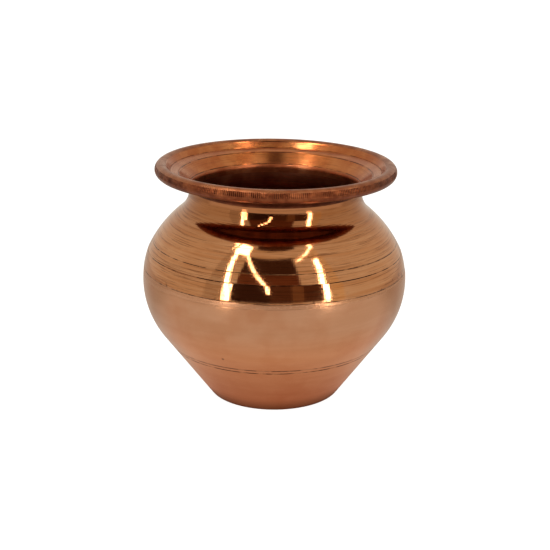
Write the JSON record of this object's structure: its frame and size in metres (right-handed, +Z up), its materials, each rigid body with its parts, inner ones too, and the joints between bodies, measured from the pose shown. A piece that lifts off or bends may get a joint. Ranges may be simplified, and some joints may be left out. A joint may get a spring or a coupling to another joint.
{
  "type": "copper kalash pot",
  "caption": "Open round-bellied copper water pot with a tapered foot, a short coved neck and a flared mouth with a rolled, knurled rim.",
  "frame": {"origin": "on the pot's axis, in the plane of the foot that it stands on", "axes": "+Z up along the pot's axis, out of the mouth; +X and +Y are arbitrary, as the pot is round"},
  "size_m": [0.112, 0.112, 0.1008],
  "materials": {
    "satin_copper": "satin, spun and buffed",
    "polished_copper": "polished, with fine turning lines, and knurled round the bead",
    "steel_wire": "drawn wire, galvanised",
    "braze": "turned flush"
  },
  "bodies": {
    "root": {"base_cup": "satin_copper", "bowl_wall": "satin_copper", "upper_shell": "polished_copper", "rim_wire": "steel_wire", "base_braze": "braze", "belly_braze": "braze"}
  },
  "joints": []
}
